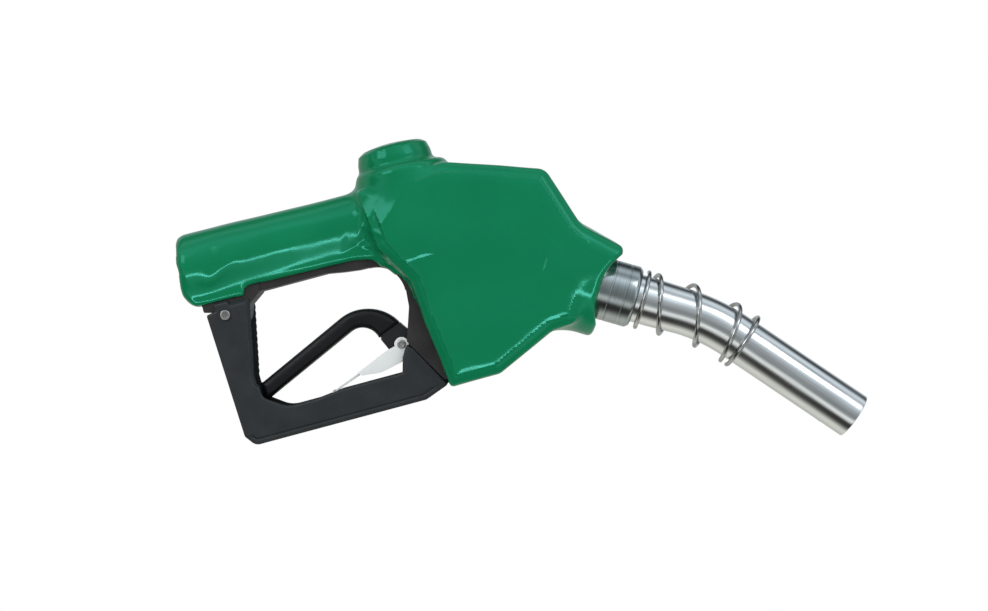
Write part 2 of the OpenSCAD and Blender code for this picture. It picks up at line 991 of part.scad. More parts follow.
// Centreline of the spout as a path: s is its length from the body's mouth
function bend_angle(s) = min(spout_bend, max(0, (s - bend_start) / bend_r * 180 / PI));
function spout_at(s) =
    let (
        a = bend_angle(s),
        before = min(s, bend_start),
        after = max(0, s - bend_start - bend_len)
    )
    [outlet_p[0], 0, outlet_p[1]]
        + before * down(outlet_drop)
        + bend_r * (sin(a) * down(outlet_drop) - (1 - cos(a)) * up(outlet_drop))
        + after * down(outlet_drop + a);
function down(a) = [cos(a), 0, -sin(a)];
function up(a) = [sin(a), 0, cos(a)];
// The hook spring's place along the spout: flat end coils, open between
function hook_place(h) =
    let (u = min(1, max(0, (h - 0.8) / 7.8)))
    hook_from + (hook_to - hook_from) * u * u * (3 - 2 * u);

module hook_spring() {
    steps = 14;
    color([0.62, 0.63, 0.65])
    sweep([for (i = [0:hook_half_turns * steps])
        let (
            h = i / steps,
            s = hook_place(h) + 0.45 * h - 0.03 * h * h,
            a = outlet_drop + bend_angle(s),
            out = cos(180 * h) * up(a) + sin(180 * h) * [0, -1, 0]
        )
        [spout_at(s) + hook_r * out, out]
    ], hook_wire_r, 8);
}

body_casting();
hand_insulator();
lever_guard();
hold_open_rack();
guard_screw();
guard_front_pin();
valve_cap();
cap_o_ring();
valve_seat();
valve_poppet();
valve_seal();
valve_stem();
valve_spring();
stem_packing();
packing_gland();
diaphragm_cover();
diaphragm_screws();
diaphragm();
diaphragm_plate();
diaphragm_spring();
latch_pin();
latch_ring();
latch_balls();
latch_plunger();
plunger_spring();
lever();
lever_sleeve();
lever_pivot_pin();
clip_pin();
hold_open_clip();
clip_spring();
check_seat();
check_poppet();
check_seal();
check_guide();
check_spring();
spout_collar();
spout_o_ring();
spout_tube();
air_tube();
spout_lock_screw();
hook_spring();
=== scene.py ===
import json
import math

import bpy
import numpy as np
import openvdb
from mathutils import Matrix, Vector


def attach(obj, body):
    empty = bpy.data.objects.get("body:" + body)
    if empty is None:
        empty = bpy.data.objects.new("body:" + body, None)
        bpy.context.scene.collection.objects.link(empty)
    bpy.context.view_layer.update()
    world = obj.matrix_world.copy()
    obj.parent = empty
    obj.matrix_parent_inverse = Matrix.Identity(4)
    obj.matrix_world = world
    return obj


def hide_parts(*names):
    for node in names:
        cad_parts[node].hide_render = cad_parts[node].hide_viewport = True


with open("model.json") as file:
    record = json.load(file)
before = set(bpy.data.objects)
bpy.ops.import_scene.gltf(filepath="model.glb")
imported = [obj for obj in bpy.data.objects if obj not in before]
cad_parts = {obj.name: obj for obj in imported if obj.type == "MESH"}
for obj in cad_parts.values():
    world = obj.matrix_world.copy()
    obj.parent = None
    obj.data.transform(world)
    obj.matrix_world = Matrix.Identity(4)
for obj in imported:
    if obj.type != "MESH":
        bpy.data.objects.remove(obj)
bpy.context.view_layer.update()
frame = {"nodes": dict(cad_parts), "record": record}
nodes = frame["nodes"]

MM = 0.001  # the shapes below are worked out in millimetres
FAR = 1e9

# Sizes repeated from the part's source, in millimetres; angles are in degrees
CAST_HALF_W = 24.0
HANDLE_R = 16.2
HANDLE_FRONT_R = 14.4
HANDLE_RIM = 2.0
COVER_T = 2.1
VALVE_X = 126.5
TOWER_R = 17.8
NECK_R = 20.8
OUTLET = (220.0, -70.0)
OUTLET_DROP = 31.0
COLLAR_R = 17.0
SPOUT_R = 12.7
BORE_R = 11.5
BEND_START = 41.5
BEND_R = 105.0
BEND = 18.0
TIP_LEN = 78.0
SPOUT_END = BEND_START + BEND_R * math.radians(BEND) + TIP_LEN  # along its centreline
SLEEVE_HALF_W = 9.0
GUARD_HALF_W = 14.0
GUARD_IN = 11.5
GUARD_SCREW = (17.25, -30.0)
GUARD_PIN = (130.0, -93.0)
CLIP_PIN = (104.5, -69.7)

# Side outlines: each corner is (x, z, radius)
BODY = [
    (104, 14.6, 0), (151, 17, 3), (202, -0.4, 6), (211.6, -31, 3), (219.5, -42.5, 0),
    (197.3, -80.6, 4), (184, -81.5, 14), (151.5, -96.4, 6), (126.6, -96.4, 0),
    (122.2, -62, 10), (120.6, -38, 10), (108, -16, 0),
]
# The cover's flat sides run on over the top of the outlet neck
COVER_SIDE = BODY[:4] + [
    (213.4, -34.4, 2), (234, -53.8, 0), (229, -62, 0), (207, -62, 6),
] + BODY[5:]
SKIRT = [
    (-1.6, 4, 0), (-1.6, -14, 5), (1.5, -21.6, 5), (12, -22.6, 4), (29.8, -22.8, 2),
    (31.5, -18.2, 3), (38, -17.7, 10), (60, -18.6, 0), (91, -19.6, 12), (100.5, -21.2, 8),
    (108.6, -29, 8), (114.4, -36, 6), (117.8, -47, 2), (126, -47, 0), (126, 4, 0),
]
GUARD_SIDE = [
    (12.2, -22.8, 0), (32.6, -22.8, 1.5), (32.6, -28, 1.5), (24.9, -66, 0), (25.2, -78, 5),
    (36.6, -86.3, 14), (53, -86.3, 20), (66.5, -84.7, 20), (101.2, -84.7, 1.5), (103.5, -76.5, 3),
    (107.9, -69, 0), (122.6, -95, 0.5), (123, -97.2, 1), (110, -102, 5), (14.8, -102, 5),
    (10.3, -96, 3), (7.2, -27.6, 1), (12.2, -26.6, 0),
]
CHANNEL = [
    (10.4, -20), (9.9, -28), (11.9, -68.5), (13.2, -94.6), (17.4, -99.3), (109, -99.3),
    (122, -94.6), (126, -90), (126, -50), (50, -50), (50, -20),
]
TONGUE = [(108, -99.6), (120, -93.9), (133, -93.9), (133, -96.2), (124, -96.2), (111, -100.9)]


# ---- Outlines and distance fields, in millimetres --------------------------

def unit(v):
    """A vector's direction, as a vector of length 1."""
    return v / np.linalg.norm(v)


def rounded(corners):
    """The outline of (x, z, radius) corners as points, its corners turned into arcs."""
    points = []
    for i, (x, z, r) in enumerate(corners):
        p = np.array([x, z], float)
        if not r:
            points.append(p)
            continue
        u = unit(np.array(corners[i - 1][:2]) - p)
        v = unit(np.array(corners[(i + 1) % len(corners)][:2]) - p)
        half = math.acos(np.clip(u @ v, -1, 1)) / 2
        centre = p + unit(u + v) * r / math.sin(half)
        start = p + u * r / math.tan(half) - centre
        end = p + v * r / math.tan(half) - centre
        turn = math.copysign(math.pi - 2 * half, start[0] * end[1] - start[1] * end[0])
        steps = max(3, math.ceil(abs(turn) / math.radians(8)))
        for a in np.linspace(0, turn, steps + 1):
            aside = np.array([-start[1], start[0]])
            points.append(centre + math.cos(a) * start + math.sin(a) * aside)
    return np.array(points)


def arc(centre, r, start, end, steps):
    """Points along an arc, between two angles in degrees."""
    angles = np.radians(np.linspace(start, end, steps + 1))
    return [(centre[0] + r * math.cos(a), centre[1] + r * math.sin(a)) for a in angles]


def outline_field(points, x, z):
    """Signed distance from a closed outline, below 0 inside it."""
    nearest = np.full(np.broadcast(x, z).shape, FAR)
    inside = np.zeros(nearest.shape, bool)
    for (ax, az), (bx, bz) in zip(points, np.roll(points, -1, axis=0)):
        ex, ez = bx - ax, bz - az
        wx, wz = x - ax, z - az
        t = np.clip((wx * ex + wz * ez) / (ex * ex + ez * ez), 0, 1)
        nearest = np.minimum(nearest, (wx - t * ex) ** 2 + (wz - t * ez) ** 2)
        crosses = (az > z) != (bz > z)
        inside ^= crosses & (wx < wz * ex / (ez if ez else 1))
    return np.sqrt(nearest) * np.where(inside, -1, 1)


def join(a, b, k):
    """Union of two fields, blended over about k."""
    h = np.maximum(k - np.abs(a - b), 0) / k
    return np.minimum(a, b) - h * h * k / 4


def keep(a, b, k):
    """The part of a inside b, with the edge between them rounded."""
    return -join(-a, -b, k)


def cut(a, b, k=0.6):
    """a without b."""
    return keep(a, -b, k)


def along_outlet(x, z):
    """Place along the outlet axis from the body's mouth, and height across it."""
    a = math.radians(OUTLET_DROP)
    dx, dz = x - OUTLET[0], z - OUTLET[1]
    return dx * math.cos(a) - dz * math.sin(a), dx * math.sin(a) + dz * math.cos(a)


def box_field(x, y, z, low, high):
    """A box with sharp edges, as the largest of its six distances."""
    out = np.maximum(low[0] - x, x - high[0])
    out = np.maximum(out, np.maximum(low[1] - y, y - high[1]))
    return np.maximum(out, np.maximum(low[2] - z, z - high[2]))


def dimple(x, z, places):
    """A bump or hollow on both sides: each place is (x, z, reach x, reach z, turn, height)."""
    total = 0
    for px, pz, rx, rz, turn, height in places:
        a = math.radians(turn)
        u = (x - px) * math.cos(a) + (z - pz) * math.sin(a)
        w = (z - pz) * math.cos(a) - (x - px) * math.sin(a)
        total = total + height * np.exp(-(u / rx) ** 2 - (w / rz) ** 2)
    return total


# ---- Meshes -----------------------------------------------------------------

def mesh_object(name, vertices, faces, material):
    """A smooth-shaded mesh object; its vertices are in millimetres."""
    mesh = bpy.data.meshes.new(name)
    mesh.from_pydata((np.asarray(vertices) * MM).tolist(), [], faces)
    mesh.update()
    mesh.shade_smooth()
    mesh.materials.append(material)
    obj = bpy.data.objects.new(name, mesh)
    bpy.context.scene.collection.objects.link(obj)
    return obj


def slope(field, p, step=0.05):
    """Gradient of a field at points."""
    out = np.empty_like(p)
    for i in range(3):
        d = np.zeros(3)
        d[i] = step
        rise = field(*(p + d).T) - field(*(p - d).T)
        out[:, i] = rise / (2 * step)
    return out


BAND = 3  # how far from the surface the sampled field is kept, in cells
PULLS = 3
LONGEST_PULL = 0.6  # in cells
LEAST_SLOPE_SQUARED = 0.2


def field_object(name, field, low, high, cell, material):
    """The zero surface of a distance field as quads, pulled exactly onto it, with its normals."""
    low, high = np.array(low, float), np.array(high, float)
    counts = np.ceil((high - low) / cell).astype(int) + 1
    x, y, z = (low[i] + cell * np.arange(counts[i]) for i in range(3))
    values = field(x[:, None, None], y[None, :, None], z[None, None, :])
    band = BAND * cell
    values = np.clip(np.broadcast_to(values, counts), -band, band).astype(np.float32)
    grid = openvdb.FloatGrid(band)
    grid.copyFromArray(np.ascontiguousarray(values))
    points, quads = grid.convertToQuads(isovalue=0)
    points = np.asarray(points, float) * cell + low
    for _ in range(PULLS):
        g = slope(field, points)
        g /= np.maximum((g ** 2).sum(axis=1, keepdims=True), LEAST_SLOPE_SQUARED)
        move = field(*points.T)[:, None] * g
        points = points - np.clip(move, -LONGEST_PULL * cell, LONGEST_PULL * cell)
    faces = np.asarray(quads)
    a, b, c = (points[faces[:, i]] for i in range(3))
    outward = (np.cross(b - a, c - a) * slope(field, a)).sum()
    if outward < 0:
        faces = faces[:, ::-1]
    obj = mesh_object(name, points, faces.tolist(), material)
    normals = slope(field, points)
    normals /= np.maximum(np.linalg.norm(normals, axis=1, keepdims=True), 1e-6)
    obj.data.normals_split_custom_set_from_vertices(normals.tolist())
    return obj


def spout_point(s):
    """Point and direction angle of the spout's centreline, s along it from the body's mouth."""
    s = float(s)
    turn = min(math.radians(BEND), max(0, (s - BEND_START) / BEND_R))
    first = math.radians(OUTLET_DROP)
    along = Vector((math.cos(first), 0, -math.sin(first)))
    above = Vector((math.sin(first), 0, math.cos(first)))
    after = max(0, s - BEND_START - BEND_R * math.radians(BEND))
    end = first + turn
    p = Vector((OUTLET[0], 0, OUTLET[1])) + min(s, BEND_START) * along
    p += BEND_R * (math.sin(turn) * along - (1 - math.cos(turn)) * above)
    return p + after * Vector((math.cos(end), 0, -math.sin(end))), end


def turned(name, profile, material, sides=128):
    """A closed (s, radius) profile turned about the spout's centreline, with a UV map of its
    turn and its place along, 100 mm to a unit."""
    vertices, faces, places = [], [], []
    for s, r in profile:
        p, a = spout_point(s)
        above = Vector((math.sin(a), 0, math.cos(a)))
        for k in range(sides):
            t = 2 * math.pi * k / sides
            vertices.append(p + float(r) * (math.cos(t) * above + math.sin(t) * Vector((0, -1, 0))))
            places.append((k / sides, s))
    rings = len(profile)
    for i in range(rings):
        for k in range(sides):
            a, b = i * sides + k, i * sides + (k + 1) % sides
            j = (i + 1) % rings * sides
            faces.append((a, b, j + (k + 1) % sides, j + k))
    obj = mesh_object(name, vertices, faces, material)
    uv = obj.data.uv_layers.new(name="turn_place")
    for loop in obj.data.loops:
        turn, place = places[loop.vertex_index]
        uv.data[loop.index].uv = (turn, place * MM * 10)
    return obj


def round_edge(s, r, radius, start, end, steps=5):
    """Profile points round an edge, centred at (s, r), between two angles in degrees."""
    return [(s + radius * math.cos(math.radians(a)), r + radius * math.sin(math.radians(a)))
            for a in np.linspace(start, end, steps)]


DOME = ((0.5, 0.85), (0.9, 0.35))  # a wire's end: how far out and how wide, in radii


def wire(name, path, radius, material, sides=14):
    """A round wire along points, with domed ends."""
    path = [np.array(p, float) for p in path]
    first, last = unit(path[0] - path[1]), unit(path[-1] - path[-2])
    stations = [(path[0] + first * radius * far, wide) for far, wide in reversed(DOME)]
    stations += [(p, 1.0) for p in path]
    stations += [(path[-1] + last * radius * far, wide) for far, wide in DOME]
    vertices, faces = [], []
    side = None
    for i, (p, grow) in enumerate(stations):
        ahead = unit(stations[min(i + 1, len(stations) - 1)][0] - stations[max(i - 1, 0)][0])
        side = np.array([0.3, 1.0, 0.2]) if side is None else side
        side = unit(side - ahead * (side @ ahead))
        up = np.cross(ahead, side)
        for k in range(sides):
            t = 2 * math.pi * k / sides
            vertices.append(p + radius * grow * (math.cos(t) * side + math.sin(t) * up))
    for i in range(len(stations) - 1):
        for k in range(sides):
            j = (k + 1) % sides
            faces.append((i * sides + k, i * sides + j, (i + 1) * sides + j, (i + 1) * sides + k))
    faces.append(tuple(range(sides - 1, -1, -1)))
    faces.append(tuple((len(stations) - 1) * sides + k for k in range(sides)))
    return mesh_object(name, vertices, faces, material)


WELD_REACH = 0.00002  # metres: joins only points that lie on each other


def soften(node, width, angle=32):
    """Rounds the sharp edges of a CAD node, as a casting's or a pressing's are."""
    obj = nodes[node]
    weld = obj.modifiers.new("weld", "WELD")
    weld.merge_threshold = WELD_REACH
    bevel = obj.modifiers.new("edges", "BEVEL")
    bevel.width = width * MM
    bevel.segments = 2
    bevel.limit_method = "ANGLE"
    bevel.angle_limit = math.radians(angle)
    bevel.use_clamp_overlap = True


# ---- Materials ----------------------------------------------------------------

NOISE_LOW, NOISE_HIGH = 0.3, 0.7  # most values of a noise lie between these


def finish_material(name, roughness, metallic=0.0, specular=0.5, tint=None):
    """A new material, with the shader's even values set."""
    material = bpy.data.materials.new(name)
    material.use_nodes = True
    shader = material.node_tree.nodes["Principled BSDF"]
    shader.inputs["Metallic"].default_value = metallic
    shader.inputs["Roughness"].default_value = roughness
    shader.inputs["Specular IOR Level"].default_value = specular
    if tint:
        shader.inputs["Specular Tint"].default_value = (*tint, 1)
    return material


def noise(material, scale, detail=3.0, stretch=(1, 1, 1), distortion=0.0, uv=False):
    """Noise over the piece in its own coordinates; returns its value socket."""
    tree = material.node_tree
    place = tree.nodes.new("ShaderNodeTexCoord")
    mapping = tree.nodes.new("ShaderNodeMapping")
    mapping.inputs["Scale"].default_value = stretch
    texture = tree.nodes.new("ShaderNodeTexNoise")
    texture.inputs["Scale"].default_value = scale
    texture.inputs["Detail"].default_value = detail
    texture.inputs["Distortion"].default_value = distortion
    tree.links.new(place.outputs["UV" if uv else "Object"], mapping.inputs["Vector"])
    tree.links.new(mapping.outputs["Vector"], texture.inputs["Vector"])
    return texture.outputs["Fac"]


def colours(material, source, stops):
    """Base colours along a value: each stop is (place, (r, g, b))."""
    tree = material.node_tree
    ramp = tree.nodes.new("ShaderNodeValToRGB")
    elements = ramp.color_ramp.elements
    while len(elements) < len(stops):
        elements.new(0.5)
    for element, (place, colour) in zip(elements, stops):
        element.position = place
        element.color = (*colour, 1)
    tree.links.new(source, ramp.inputs["Fac"])
    tree.links.new(ramp.outputs["Color"], tree.nodes["Principled BSDF"].inputs["Base Color"])


def spread(material, source, low, high):
    """Spreads the roughness from low to high along a noise value."""
    tree = material.node_tree
    stretch = tree.nodes.new("ShaderNodeMapRange")
    stretch.inputs["From Min"].default_value = NOISE_LOW
    stretch.inputs["From Max"].default_value = NOISE_HIGH
    stretch.inputs["To Min"].default_value = low
    stretch.inputs["To Max"].default_value = high
    tree.links.new(source, stretch.inputs["Value"])
    tree.links.new(stretch.outputs["Result"], tree.nodes["Principled BSDF"].inputs["Roughness"])


def bump(material, source, height):
    """Adds a bump of that height in millimetres over what the shader has so far."""
    tree = material.node_tree
    node = tree.nodes.new("ShaderNodeBump")
    node.inputs["Distance"].default_value = height * MM
    tree.links.new(source, node.inputs["Height"])
    normal = tree.nodes["Principled BSDF"].inputs["Normal"]
    if normal.is_linked:
        tree.links.new(normal.links[0].from_socket, node.inputs["Normal"])
    tree.links.new(node.outputs["Normal"], normal)


def vinyl_material():
    """Dipped vinyl: glossy, with slow ripples and a faint orange peel."""
    m = finish_material("green_vinyl", 0.13, specular=0.42, tint=(0.2, 1.0, 0.88))
    dark, light = (0.003, 0.138, 0.053), (0.0045, 0.158, 0.062)
    colours(m, noise(m, 22, 3), [(NOISE_LOW, dark), (NOISE_HIGH, light)])
    spread(m, noise(m, 60, 2), 0.1, 0.2)
    bump(m, noise(m, 55, 2, distortion=0.4), 0.16)
    bump(m, noise(m, 900, 2), 0.003)
    return m


def painted_material(name, dark, light, roughness, grain, height, specular=0.4):
    """A coated or moulded surface with a fine grain and small changes of shade."""
    m = finish_material(name, roughness, specular=specular)
    colours(m, noise(m, 70, 5), [(NOISE_LOW, dark), (NOISE_HIGH, light)])
    spread(m, noise(m, 180, 3), roughness - 0.07, roughness + 0.09)
    bump(m, noise(m, grain, 4), height)
    return m


def metal_material(name, dark, light, roughness, scale=120):
    """Bare metal with fine marks and changes of polish."""
    m = finish_material(name, roughness, 1.0)
    marks = noise(m, scale, 4)
    colours(m, marks, [(NOISE_LOW, dark), (NOISE_HIGH, light)])
    spread(m, noise(m, scale * 0.5, 3), roughness * 0.7, roughness * 1.4)
    bump(m, marks, 0.004)
    return m


def spout_material(name, dark, light, roughness, around, along):
    """Polished tube: marks run along it or round it, in its turn and place map."""
    m = finish_material(name, roughness, 1.0)
    marks = noise(m, 1, 3, (around, along, 1), uv=True)
    colours(m, marks, [(0.25, dark), (0.75, light)])
    spread(m, noise(m, 40, 4), roughness * 0.6, roughness * 1.6)
    bump(m, marks, 0.003)
    bump(m, noise(m, 90, 2), 0.03)
    return m


def clip_material():
    """Bright zinc on the flat faces of a pressing, with painted shade along its edges: where the
    surface turns away from the side, the colour goes near black.
    """
    m = finish_material("pressing_painted_edge_shade", 0.5)
    tree = m.node_tree
    facing = tree.nodes.new("ShaderNodeTexCoord")
    split = tree.nodes.new("ShaderNodeSeparateXYZ")
    across = tree.nodes.new("ShaderNodeMath")
    across.operation = "ABSOLUTE"
    tree.links.new(facing.outputs["Normal"], split.inputs["Vector"])
    tree.links.new(split.outputs["Y"], across.inputs[0])
    # Painted shade: near black where the surface does not face the side, near white on the flat
    # faces that do
    colours(m, across.outputs[0], [(0.45, (0.02, 0.02, 0.018)), (0.95, (0.95, 0.95, 0.92))])
    spread(m, noise(m, 150, 3), 0.25, 0.45)
    bump(m, noise(m, 700, 3), 0.004)
    return m


VINYL = vinyl_material()
CASTING = painted_material(
    "dark_casting", (0.016, 0.0132, 0.014), (0.036, 0.0296, 0.0296), 0.5, 900, 0.05)
GUARD = painted_material(
    "guard_coating", (0.0155, 0.0185, 0.0195), (0.0235, 0.0275, 0.03), 0.45, 1100, 0.03)
LEVER = painted_material(
    "lever_coating", (0.008, 0.008, 0.009), (0.016, 0.016, 0.018), 0.35, 800, 0.02)
SLEEVE = painted_material(
    "sleeve_plastic", (0.005, 0.005, 0.0055), (0.009, 0.009, 0.01), 0.42, 500, 0.02, specular=0.25)
RUBBER = painted_material(
    "seal_rubber", (0.008, 0.008, 0.008), (0.016, 0.016, 0.016), 0.6, 600, 0.02)
PACKING = painted_material(
    "packing_ptfe", (0.6, 0.6, 0.55), (0.78, 0.78, 0.73), 0.45, 400, 0.01)
STEEL = metal_material("zinc_steel", (0.62, 0.62, 0.6), (0.88, 0.88, 0.86), 0.22)
WIRE = metal_material("spring_wire", (0.3, 0.3, 0.3), (0.55, 0.55, 0.54), 0.13, scale=200)
BRASS = metal_material("machined_brass", (0.5, 0.34, 0.1), (0.72, 0.52, 0.2), 0.25)
ALLOY = metal_material("machined_alloy", (0.45, 0.44, 0.41), (0.68, 0.67, 0.63), 0.35)
SPOUT = spout_material("spout_metal", (0.62, 0.64, 0.645), (0.8, 0.81, 0.81), 0.13, 60, 4)
COLLAR = spout_material("collar_metal", (0.3, 0.33, 0.33), (0.42, 0.46, 0.46), 0.16, 6, 160)
# The clip's zinc, with painted shade along its edges
CLIP = clip_material()
SCREW = metal_material("screw_steel", (0.3, 0.3, 0.29), (0.5, 0.5, 0.48), 0.3, scale=300)

BY_SLOT = {
    "casting": CASTING, "vinyl": VINYL, "guard": GUARD, "lever_metal": LEVER, "sleeve": SLEEVE,
    "steel": STEEL, "spring_steel": WIRE, "spout_metal": SPOUT, "brass": BRASS,
    "aluminium": ALLOY, "rubber": RUBBER, "packing": PACKING,
}


# ---- Camera and lights ----------------------------------------------------------

# Metres, but for the angle, which is in degrees
VIEW_W = 0.5385  # width of the view at the object
VIEW_AT = Vector((0.1582, 0, -0.0624))
DISTANCE = 1.05
ROLL = 15.0
SENSOR_W = 36


def place_camera():
    """A camera square to the object's side, rolled so that the handle rises to the spout."""
    camera = bpy.data.objects.new("camera", bpy.data.cameras.new("camera"))
    bpy.context.scene.collection.objects.link(camera)
    camera.data.sensor_width = SENSOR_W
    camera.data.lens = SENSOR_W * DISTANCE / VIEW_W
    a = math.radians(ROLL)
    right = Vector((math.cos(a), 0, -math.sin(a)))
    up = Vector((math.sin(a), 0, math.cos(a)))
    turn = Matrix((right, up, right.cross(up))).transposed()
    camera.matrix_world = Matrix.Translation(VIEW_AT - Vector((0, DISTANCE, 0))) @ turn.to_4x4()
    bpy.context.scene.camera = camera


def area_light(name, towards, distance, size, brightness):
    """A soft light seen from the object in direction towards, with that brightness."""
    data = bpy.data.lights.new(name, "AREA")
    data.shape = "RECTANGLE"
    data.size, data.size_y = size
    data.energy = brightness * math.pi * size[0] * size[1]
    light = bpy.data.objects.new(name, data)
    bpy.context.scene.collection.objects.link(light)
    towards = Vector(towards).normalized()
    light.location = VIEW_AT + towards * distance
    light.rotation_mode = "QUATERNION"
    light.rotation_quaternion = towards.to_track_quat("Z", "Y")
    return light


# Brightness of the studio by angle round the spout: 0 is the camera's side,
# 90 above, -90 below and 180 behind the object
STUDIO = [
    (-180, 0.5), (-134, 0.66), (-121, 0.8), (-102, 0.82), (-87, 0.42), (-76, 0.13), (-66, 0.05),
    (-55, 0.05), (-48, 0.13), (-40, 0.75), (-34, 1.0), (-27, 0.95), (-21, 0.5), (-14, 0.3),
    (0, 0.34), (16, 0.48), (27, 0.66), (37, 1.0), (47, 1.3), (57, 1.1), (66, 0.6), (74, 0.5),
    (84, 0.85), (92, 1.0), (100, 0.75), (108, 0.35), (118, 0.07), (128, 0.07), (138, 0.25),
    (150, 0.6), (180, 0.6),
]
STUDIO_TILT = 40.0  # how far the bands slope down with the spout, in degrees
STUDIO_PEAK = 1.4  # the brightness that a level of 1 in the ramp stands for


def studio_world():
    """Soft surroundings with broad light and dark bands; plain white behind the object."""
    world = bpy.data.worlds.new("studio")
    bpy.context.scene.world = world
    world.use_nodes = True
    tree = world.node_tree
    place = tree.nodes.new("ShaderNodeTexCoord")
    split = tree.nodes.new("ShaderNodeSeparateXYZ")
    tilt = tree.nodes.new("ShaderNodeVectorRotate")
    tilt.rotation_type = "Y_AXIS"
    tilt.inputs["Angle"].default_value = math.radians(-STUDIO_TILT)
    tree.links.new(place.outputs["Generated"], tilt.inputs["Vector"])
    tree.links.new(tilt.outputs["Vector"], split.inputs["Vector"])
    towards = tree.nodes.new("ShaderNodeMath")
    towards.operation = "MULTIPLY"
    towards.inputs[1].default_value = -1
    tree.links.new(split.outputs["Y"], towards.inputs[0])
    angle = tree.nodes.new("ShaderNodeMath")
    angle.operation = "ARCTAN2"
    tree.links.new(split.outputs["Z"], angle.inputs[0])
    tree.links.new(towards.outputs[0], angle.inputs[1])
    share = tree.nodes.new("ShaderNodeMapRange")
    share.inputs["From Min"].default_value = -math.pi
    share.inputs["From Max"].default_value = math.pi
    tree.links.new(angle.outputs[0], share.inputs["Value"])
    ramp = tree.nodes.new("ShaderNodeValToRGB")
    elements = ramp.color_ramp.elements
    while len(elements) < len(STUDIO):
        elements.new(0.5)
    for element, (at, level) in zip(elements, STUDIO):
        element.position = (at + 180) / 360
        level /= STUDIO_PEAK
        cool = max(0, min(1, (at + 75) / 110))  # cream light below, cool light above
        element.color = (level * (1 - 0.1 * cool), level, level * (0.93 + 0.15 * cool), 1)
    tree.links.new(share.outputs["Result"], ramp.inputs["Fac"])
    studio = tree.nodes["Background"]
    studio.inputs["Strength"].default_value = STUDIO_PEAK
    tree.links.new(ramp.outputs["Color"], studio.inputs["Color"])
    backdrop = tree.nodes.new("ShaderNodeBackground")
    backdrop.inputs["Color"].default_value = (1, 1, 1, 1)
    path = tree.nodes.new("ShaderNodeLightPath")
    mix = tree.nodes.new("ShaderNodeMixShader")
    tree.links.new(path.outputs["Is Camera Ray"], mix.inputs[0])
    tree.links.new(studio.outputs[0], mix.inputs[1])
    tree.links.new(backdrop.outputs[0], mix.inputs[2])
    tree.links.new(mix.outputs[0], tree.nodes["World Output"].inputs["Surface"])


def place_floor():
    """A plain pale floor disc under the object, below the main view."""
    sides, centre_x, radius, height = 96, 158, 600, -450
    turns = [2 * math.pi * k / sides for k in range(sides)]
    vertices = [(centre_x + radius * math.cos(t), radius * math.sin(t), height) for t in turns]
    pale = painted_material("pale_floor", (0.72, 0.72, 0.72), (0.78, 0.78, 0.78), 0.6, 200, 0.01)
    floor = mesh_object("floor", vertices, [tuple(range(sides))], pale)
    floor.visible_glossy = False


place_camera()
bpy.context.scene.view_settings.view_transform = "Standard"
studio_world()
place_floor()
# Seen in reflections, the top light would wash out the spout
top = area_light("top_softbox", (0, -0.2, 1), 1.3, (1.3, 1.3), 1.0)
top.visible_glossy = False
# The strip makes the streak along the handle, and lights only the cover
STRIP_BELOW = math.radians(24)
strip_towards = (0, -math.cos(STRIP_BELOW), -math.sin(STRIP_BELOW))
strip = area_light("front_strip", strip_towards, 1.35, (1.7, 0.13), 13)
painted = bpy.data.collections.new("painted")
strip.light_linking.receiver_collection = painted
area_light("left_softbox", (-0.75, -1, 0.85), 1.6, (0.7, 0.7), 3.5)
area_light("right_softbox", (1.0, -0.8, 0.6), 1.6, (0.6, 0.6), 2.0)


# ---- Vinyl cover ------------------------------------------------------------------

BODY_EDGE = rounded(BODY)
COVER_EDGE = rounded(COVER_SIDE)
SKIRT_EDGE = rounded(SKIRT)
PANEL_Y = CAST_HALF_W + COVER_T
THINNEST = 1.0  # the least that the skin's outside stands off the casting
LIP = 0.9  # the skin covers this much of the inlet's rim, and clears the collar by as much
GRIP_R, GRIP_TAPER = 18.75, 2.15
SKIRT_HALF_W = 13.4
LEDGE_X, LEDGE_R, LEDGE_TOP = 128.3, 25.2, 23.2  # the shoulder round the tower's foot
POST_R, POST_TOP = 19.6, 30
CAP_R, CAP_LOW, CAP_TOP = 20.1, 27, 37.5
NECK_SKIN_R, NECK_FLARE = 25.2, 3.3
# Folds and hollows in the dipped skin: (x, z, reach x, reach z, turn, height)
FOLDS = [
    (98, -8, 9, 1.6, 62, 0.5), (103, -4, 11, 1.8, 48, -0.7), (108, -9, 7, 1.5, -40, 0.5),
    (95, -12, 8, 2.0, 20, -0.5), (101, -14, 6, 1.4, -25, 0.4), (90, -4, 7, 2.0, 70, 0.35),
    (17, 1, 10, 4.0, 75, -0.5), (24, -5, 12, 3.0, 30, 0.4), (14, -9, 5, 4.0, 0, 0.4),
    (45, -3, 22, 4.0, 4, 0.25), (70, 1, 18, 4.0, -6, -0.2), (60, 9, 26, 4.0, 3, 0.15),
]


def ripples(x, y, z):
    """Slow unevenness of the skin, in millimetres."""
    a = np.sin(x / 7.3 + 1.1 * np.sin(z / 9.1)) * np.sin(z / 6.2 - x / 19 + y / 13 + 0.7)
    b = np.sin(x / 13.7 - z / 17.3 + 2.1) * np.sin(y / 11.9 + z / 14.3 + x / 31)
    return 0.1 * a + 0.16 * b


RAISED_IN, RAISED_BY = 5, 3.5  # the block's raised flats: inset from its outline, and height
TOWER_TOP, TOWER_BEVEL_FROM = 34.2, 32.5


def facet(x, past_side, z):
    """The slope that leads from the handle up to the body's flat side."""
    return (past_side - 0.29 * (x - 128) + 0.32 * (z - 10)) / 1.09


